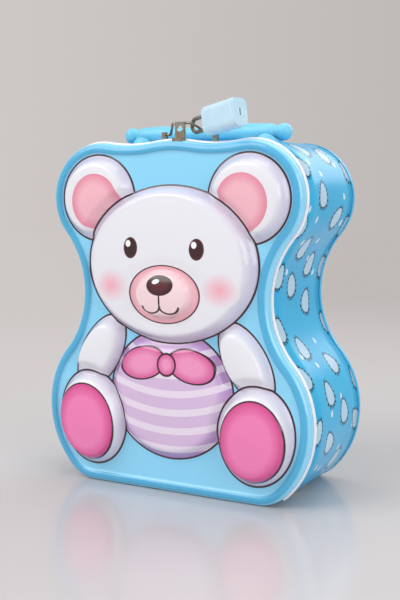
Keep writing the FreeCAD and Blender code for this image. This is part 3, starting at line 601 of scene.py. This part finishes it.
def scatter(tree, strip, cell, half, jitter, turn, seed):
    """Gap in mm to one teardrop in each cell of the strip, with the spot in it and a chance 0..1."""
    cells = add(tree, "Mapping", {"Vector": strip, "Location": (seed, seed, 0),
                                  "Scale": (1 / (cell[0] * MM), 1 / (cell[1] * MM), 1)}).outputs[0]
    column = add(tree, "SeparateXYZ", {0: cells}).outputs
    row = add(tree, "Math", {0: column[1]}, operation="FLOOR").outputs[0]
    along = add(tree, "Math", {0: row, 1: ROW_SHIFT, 2: column[0]}, operation="MULTIPLY_ADD").outputs[0]
    shifted = add(tree, "CombineXYZ", {0: along, 1: column[1], 2: seed}).outputs[0]
    number = add(tree, "VectorMath", {0: shifted}, operation="FLOOR").outputs[0]
    chance = add(tree, "TexWhiteNoise", {"Vector": number}, noise_dimensions="3D").outputs
    inside = add(tree, "VectorMath", {0: shifted}, operation="FRACTION").outputs[0]
    middle = add(tree, "VectorMath", {0: inside, 1: (0.5, 0.5, 0)}, operation="SUBTRACT").outputs[0]
    spot = add(tree, "VectorMath", {0: middle, 1: (*cell, 0)}, operation="MULTIPLY").outputs[0]
    luck = add(tree, "VectorMath", {0: chance["Color"], 1: (0.5, 0.5, 0.5)},
               operation="SUBTRACT").outputs[0]
    push = add(tree, "VectorMath", {0: luck, 1: (*jitter, 0)}, operation="MULTIPLY").outputs[0]
    spot = add(tree, "VectorMath", {0: spot, 1: push}, operation="SUBTRACT").outputs[0]
    angle = times(tree, add(tree, "SeparateXYZ", {0: luck}).outputs[2], turn)
    spot = add(tree, "VectorRotate", {"Vector": spot, "Angle": angle}, rotation_type="Z_AXIS").outputs[0]
    spot = add(tree, "VectorMath", {0: spot, 1: (1 / half[0], 1 / half[1], 0)},
               operation="MULTIPLY").outputs[0]
    parts = add(tree, "SeparateXYZ", {0: spot}).outputs
    fat = add(tree, "Math", {0: parts[0], 1: LEAF_ROUND, 2: 1.0}, operation="MULTIPLY_ADD").outputs[0]
    drop = add(tree, "CombineXYZ", {0: parts[0], 1: times(tree, parts[1], fat)}).outputs[0]
    mean = math.sqrt(half[0] * half[1])
    out = add(tree, "VectorMath", {0: drop}, operation="LENGTH").outputs["Value"]
    gap = add(tree, "Math", {0: out, 1: mean, 2: -mean}, operation="MULTIPLY_ADD").outputs[0]
    return gap, parts, chance["Value"]


tone = add(tree, "TexNoise", {"Vector": place, "Scale": 1 / (BAND_CLOUD * MM), "Detail": 1.0}).outputs[0]
colour = over(tree, BAND_BLUE, ramp(tree, tone, 0.35, 0.65), BAND_SHADE)
gap, parts, chance = scatter(tree, strip, FLECK_CELL, FLECK_HALF, FLECK_JITTER, FLECK_TURN, FLECK_SEED)
shown = times(tree, ramp(tree, gap, DROP_BLUR, -DROP_BLUR),
              ramp(tree, chance, FLECKS_LEFT_OUT, FLECKS_LEFT_OUT + 0.01))
colour = over(tree, colour, times(tree, shown, FLECK_SHARE), FLECK)
gap, parts, chance = scatter(tree, strip, LEAF_CELL, LEAF_HALF, LEAF_JITTER, LEAF_TURN, LEAF_SEED)
colour = over(tree, colour, ramp(tree, gap, DROP_BLUR, -DROP_BLUR), LEAF)
colour = over(tree, colour, line_share(tree, gap, LEAF_LINE), LEAF_INK)
bearing = add(tree, "Math", {0: parts[1], 1: parts[0]}, operation="ARCTAN2").outputs[0]
wave = add(tree, "Math", {0: times(tree, bearing, FRILL_DOTS)}, operation="SINE").outputs[0]
beyond = add(tree, "Math", {0: gap, 1: FRILL_OUT}, operation="SUBTRACT").outputs[0]
frill = times(tree, line_share(tree, beyond, FRILL_WIDTH), ramp(tree, wave, -0.15, 0.15))
colour = over(tree, colour, frill, LEAF_INK)
varnish(tree, place, colour, **DULL_VARNISH)
for material in (body_print, bare_tin):
    body_skin.data.materials.append(material)
wall(body_skin, SHEET)


def punch(piece, cutter):
    """Cuts the cutter's shape out of the piece and clears the cutter away."""
    bpy.ops.object.select_all(action="DESELECT")
    bpy.context.view_layer.objects.active = piece
    hole = piece.modifiers.new("punch", "BOOLEAN")
    hole.object = cutter
    hole.operation = "DIFFERENCE"
    hole.solver = "EXACT"
    bpy.ops.object.modifier_apply(modifier=hole.name)
    bpy.data.meshes.remove(cutter.data)


bpy.ops.object.select_all(action="DESELECT")
bpy.ops.mesh.primitive_cube_add(
    size=1, location=(0, COIN_HOLE_BACK * MM, PUNCH_UP * MM),
    scale=(COIN_HOLE_LENGTH * MM, COIN_HOLE_WIDTH * MM, PUNCH_REACH * MM),
)
punch(body_skin, bpy.context.object)
for side in (-1, 1):
    bpy.ops.object.select_all(action="DESELECT")
    bpy.ops.mesh.primitive_cylinder_add(
        vertices=PUNCH_SIDES, radius=LEG_HOLE * MM, depth=PUNCH_REACH * MM,
        location=(side * LEG_ACROSS * MM, 0, PUNCH_UP * MM),
    )
    punch(body_skin, bpy.context.object)
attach(body_skin, "body")
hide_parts("body_band")


def finish_nodes(material, *names):
    """Gives CAD nodes that keep their own shape a material."""
    for name in names:
        slots = frame["nodes"][name].data.materials
        slots.clear()
        slots.append(material)


# The back: a plain blue tray of the same tinplate, bare inside, seamed over the band's rear edge. The
# coin plate on top is of the same sheet. The lid's skirt slides over the bare neck inside the mouth.
BACK_BLUE, BACK_SHADE, BACK_CLOUD = "#4abdea", "#41b2e1", 60.0
BACK_SEAM_FRONT = 25.5
blue_tin = bpy.data.materials.new("lacquered_blue_tinplate")
tree = fresh_tree(blue_tin)
place = add(tree, "TexCoord").outputs["Object"]
tone = add(tree, "TexNoise", {"Vector": place, "Scale": 1 / (BACK_CLOUD * MM), "Detail": 2.0}).outputs[0]
colour = over(tree, BACK_BLUE, ramp(tree, tone, 0.35, 0.65), BACK_SHADE)
colour = rubbed_edges(tree, place, colour, RUB_BLUE)
varnish(tree, place, colour, **DULL_VARNISH)
finish_nodes(blue_tin, "back_panel", "coin_plate")
finish_nodes(bare_tin, "neck_ring")
back_sheet = frame["nodes"]["back_panel"].data
back_sheet.materials.append(bare_tin)
for face in back_sheet.polygons:
    faces_in = face.normal.y < -0.5 and face.center.y > BACK_SEAM_FRONT * MM
    face.material_index = 1 if faces_in else 0

# The hinge under the lid: two leaves of zinc-plated strip, rolled round one steel pin and riveted to
# the body. The zinc is pale, slightly blue, with a fine grain and dull spots.
ZINC, ZINC_DULL = "#b4b8bd", "#8b9097"
ZINC_GRAIN, ZINC_SPOT = 0.7, 5.0
zinc = bpy.data.materials.new("zinc_plated_steel")
tree = fresh_tree(zinc)
place = add(tree, "TexCoord").outputs["Object"]
grain = add(tree, "TexNoise", {"Vector": place, "Scale": 1 / (ZINC_GRAIN * MM), "Detail": 3.0}).outputs[0]
spots = add(tree, "TexNoise", {"Vector": place, "Scale": 1 / (ZINC_SPOT * MM), "Detail": 4.0}).outputs[0]
colour = over(tree, ZINC, ramp(tree, spots, 0.5, 0.75), ZINC_DULL)
rough = add(tree, "MapRange", {"Value": spots, "To Min": 0.25, "To Max": 0.5}).outputs[0]
bump = add(tree, "Bump", {"Height": grain, "Strength": 0.15, "Distance": 0.03 * MM}).outputs[0]
metal(tree, colour, rough, bump)
finish_nodes(zinc, "body_hinge_leaf", "lid_hinge_leaf", "hinge_pin", "hinge_rivets")

# The hasp: a stamped strap on the lid, two lugs on the body and a bent wire bail, all of nickel-plated
# steel. The plating has yellowed and is scuffed, so it mixes warm grey with bright worn streaks.
NICKEL, NICKEL_WARM, NICKEL_WORN = "#a39e94", "#8d8064", "#dcdad4"
WEAR_STREAK, WEAR_PATCH = 1.6, 4.0
nickel = bpy.data.materials.new("worn_nickel_plated_steel")
tree = fresh_tree(nickel)
place = add(tree, "TexCoord").outputs["Object"]
patch = add(tree, "TexNoise", {"Vector": place, "Scale": 1 / (WEAR_PATCH * MM), "Detail": 3.0}).outputs[0]
streak = add(tree, "TexNoise", {"Vector": place, "Scale": 1 / (WEAR_STREAK * MM), "Detail": 5.0,
                                "Roughness": 0.7}).outputs[0]
colour = over(tree, NICKEL, ramp(tree, patch, 0.4, 0.7), NICKEL_WARM)
colour = over(tree, colour, ramp(tree, streak, 0.58, 0.72), NICKEL_WORN)
rough = add(tree, "MapRange", {"Value": streak, "From Min": 0.3, "From Max": 0.7,
                               "To Min": 0.38, "To Max": 0.2}).outputs[0]
bump = add(tree, "Bump", {"Height": streak, "Strength": 0.1, "Distance": 0.03 * MM}).outputs[0]
metal(tree, colour, rough, bump)
finish_nodes(nickel, "hasp_strap", "hasp_lugs", "hasp_bail", "handle_legs", "handle_stops",
             "lock_shackle")

# The lift handle: a moulded polypropylene bar, slim in the middle, with a tapered shoulder and a
# groove before each ball end. Its steel legs slide through two domed saddles on the band.
GRIP_UP = 164.6
GRIP_SIDES = 40
BALL, BALL_AT, BALL_START, BALL_STEPS = 3.95, 40.4, 122.0, 9
GRIP_PROFILE = (
    # along the bar from its middle, radius
    (0.0, 3.3), (6.0, 3.3), (12.0, 3.32), (16.5, 3.4), (18.6, 3.62), (19.8, 3.95), (20.6, 4.2),
    (21.6, 4.3), (23.0, 4.3), (26.0, 4.22), (29.0, 4.12), (32.0, 4.0), (34.4, 3.9), (35.2, 3.78),
    (35.7, 3.5), (36.1, 3.0), (36.6, 2.8), (37.1, 2.85), (37.6, 3.1),
)
half_bar = list(GRIP_PROFILE)
for step in range(BALL_STEPS):
    angle = math.radians(BALL_START * (1 - step / BALL_STEPS))
    half_bar.append((BALL_AT + BALL * math.cos(angle), BALL * math.sin(angle)))
bar = [(-along, radius) for along, radius in reversed(half_bar[1:])] + half_bar
grip_rings = []
for along, radius in bar:
    section = []
    for step in range(GRIP_SIDES):
        angle = 2 * math.pi * step / GRIP_SIDES
        up = GRIP_UP + radius * math.sin(angle)
        section.append(Vector((along, radius * math.cos(angle), up)) * MM)
    grip_rings.append(section)
grip = loft("handle_bar", grip_rings, pole=True)
close_first_ring(grip, GRIP_SIDES, pole=True)
bpy.ops.object.shade_smooth()

# Polypropylene: even, saturated colour with soft gloss, a very fine moulded grain and faint flow
# marks along the bar. Some light passes under its skin.
PLASTIC_BLUE, PLASTIC_FLOW = "#76d1f0", "#88dbf6"
MOULD_GRAIN, FLOW_LENGTH, FLOW_WIDTH = 0.8, 22.0, 4.0
plastic = bpy.data.materials.new("moulded_blue_polypropylene")
tree = fresh_tree(plastic)
place = add(tree, "TexCoord").outputs["Object"]
flow = add(tree, "Mapping", {
    "Vector": place,
    "Scale": (1 / (FLOW_LENGTH * MM), 1 / (FLOW_WIDTH * MM), 1 / (FLOW_WIDTH * MM)),
}).outputs[0]
marks = add(tree, "TexNoise", {"Vector": flow, "Scale": 1.0, "Detail": 2.0}).outputs[0]
grain = add(tree, "TexNoise", {"Vector": place, "Scale": 1 / (MOULD_GRAIN * MM), "Detail": 2.0}).outputs[0]
colour = over(tree, PLASTIC_BLUE, ramp(tree, marks, 0.35, 0.7), PLASTIC_FLOW)
rough = add(tree, "MapRange", {"Value": grain, "To Min": 0.3, "To Max": 0.42}).outputs[0]
bump = add(tree, "Bump", {"Height": grain, "Strength": 0.1, "Distance": 0.04 * MM}).outputs[0]
shader = add(tree, "BsdfPrincipled", {
    "Base Color": colour, "Roughness": rough, "IOR": 1.49, "Normal": bump,
    "Subsurface Weight": 0.08, "Subsurface Radius": (0.3, 0.6, 1.0), "Subsurface Scale": 1.0 * MM,
})
add(tree, "OutputMaterial", {"Surface": shader.outputs[0]})
grip.data.materials.append(plastic)
finish_nodes(plastic, "handle_saddle_left", "handle_saddle_right")
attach(grip, "handle")
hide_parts("handle_grip")

# The padlock: a small cast case in pale blue paint, rounded along its length, with a wire shackle
# in two holes at one end and an end plate with the key plug at the other. It lies along the axis
# that the plug turns on, which the frame gives.
CASE_LENGTH, CASE_THICK, CASE_WIDE = 19.8, 9.0, 12.6
CASE_ROUND, SHACKLE_END_ROUND, KEY_END_ROUND = 3.0, 1.9, 0.35
SHACKLE_HALF, SHACKLE_HOLE = 3.0, 1.0
HEEL_DEPTH, TOE_DEPTH = 9.6, 4.2
PLUG_HOLE, PLUG_DEPTH = 2.65, 10.0
DRILL_OVER, DRILL_SIDES = 1.0, 32
key_turn = next(joint for joint in frame["joints"] if joint["name"] == "key_turn")
lock_turn = Vector(key_turn["axis"]).to_track_quat("X", "Z").to_matrix().to_4x4()
lock_place = Matrix.Translation(key_turn["pos_m"]) @ lock_turn

bpy.ops.object.select_all(action="DESELECT")
bpy.ops.mesh.primitive_cube_add(size=1)
case = bpy.context.object
case.name = case.data.name = "padlock_case"
case.data.transform(Matrix.Translation((CASE_LENGTH / 2 * MM, 0, 0))
                    @ Matrix.Diagonal((CASE_LENGTH * MM, CASE_THICK * MM, CASE_WIDE * MM, 1)))


def round_edges(piece, chosen, width, steps):
    """Bevels the edges of a piece for which chosen is true."""
    deselect_parts(piece)
    for edge in piece.data.edges:
        start, end = (piece.data.vertices[index].co for index in edge.vertices)
        edge.select = chosen(start, end)
    bpy.context.tool_settings.mesh_select_mode = (False, True, False)
    bpy.ops.object.mode_set(mode="EDIT")
    bpy.ops.mesh.bevel(offset=width * MM, segments=steps, profile=0.5)
    bpy.ops.object.mode_set(mode="OBJECT")
    bpy.context.tool_settings.mesh_select_mode = (True, False, False)


round_edges(case, lambda a, b: abs(a.x - b.x) > MM, CASE_ROUND, steps=8)
round_edges(case, lambda a, b: max(a.x, b.x) < 0.01 * MM, SHACKLE_END_ROUND, steps=6)
round_edges(case, lambda a, b: min(a.x, b.x) > (CASE_LENGTH - 0.01) * MM, KEY_END_ROUND, steps=2)
along_x = Matrix.Rotation(math.pi / 2, 4, "Y")
holes = (
    # up from the axis, radius, start and end along the case
    (SHACKLE_HALF, SHACKLE_HOLE, -DRILL_OVER, HEEL_DEPTH),
    (-SHACKLE_HALF, SHACKLE_HOLE, -DRILL_OVER, TOE_DEPTH),
    (0, PLUG_HOLE, CASE_LENGTH - PLUG_DEPTH, CASE_LENGTH + DRILL_OVER),
)
for up, radius, start, end in holes:
    bpy.ops.object.select_all(action="DESELECT")
    bpy.ops.mesh.primitive_cylinder_add(vertices=DRILL_SIDES, radius=radius * MM,
                                        depth=(end - start) * MM)
    drill = bpy.context.object
    drill.data.transform(Matrix.Translation(((start + end) / 2 * MM, 0, up * MM)) @ along_x)
    punch(case, drill)
case.data.transform(lock_place)
bpy.ops.object.shade_smooth_by_angle(angle=math.radians(35))

# Sprayed acrylic on a zinc casting: pale, smooth and half glossy, with a fine spray texture and a
# little bare grey at the worn corners.
LOCK_BLUE, LOCK_SHADE, LOCK_BARE = "#d0eefd", "#c2e6f9", "#8f9aa3"
SPRAY, LOCK_CLOUD = 0.9, 8.0
lock_paint = bpy.data.materials.new("sprayed_pale_blue_acrylic")
tree = fresh_tree(lock_paint)
place = add(tree, "TexCoord").outputs["Object"]
spray = add(tree, "TexNoise", {"Vector": place, "Scale": 1 / (SPRAY * MM), "Detail": 2.0}).outputs[0]
tone = add(tree, "TexNoise", {"Vector": place, "Scale": 1 / (LOCK_CLOUD * MM), "Detail": 2.0}).outputs[0]
colour = over(tree, LOCK_BLUE, ramp(tree, tone, 0.35, 0.7), LOCK_SHADE)
corner = ramp(tree, add(tree, "NewGeometry").outputs["Pointiness"], 0.6, 0.72)
chips = times(tree, corner, ramp(tree, spray, 0.55, 0.7))
colour = over(tree, colour, chips, LOCK_BARE)
rough = add(tree, "MapRange", {"Value": spray, "To Min": 0.26, "To Max": 0.4}).outputs[0]
bump = add(tree, "Bump", {"Height": spray, "Strength": 0.1, "Distance": 0.04 * MM}).outputs[0]
shader = add(tree, "BsdfPrincipled", {
    "Base Color": colour, "Roughness": rough, "IOR": 1.49, "Normal": bump,
})
add(tree, "OutputMaterial", {"Surface": shader.outputs[0]})
case.data.materials.append(lock_paint)
finish_nodes(lock_paint, "lock_plate", "key_plug")
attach(case, "padlock")
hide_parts("lock_case")
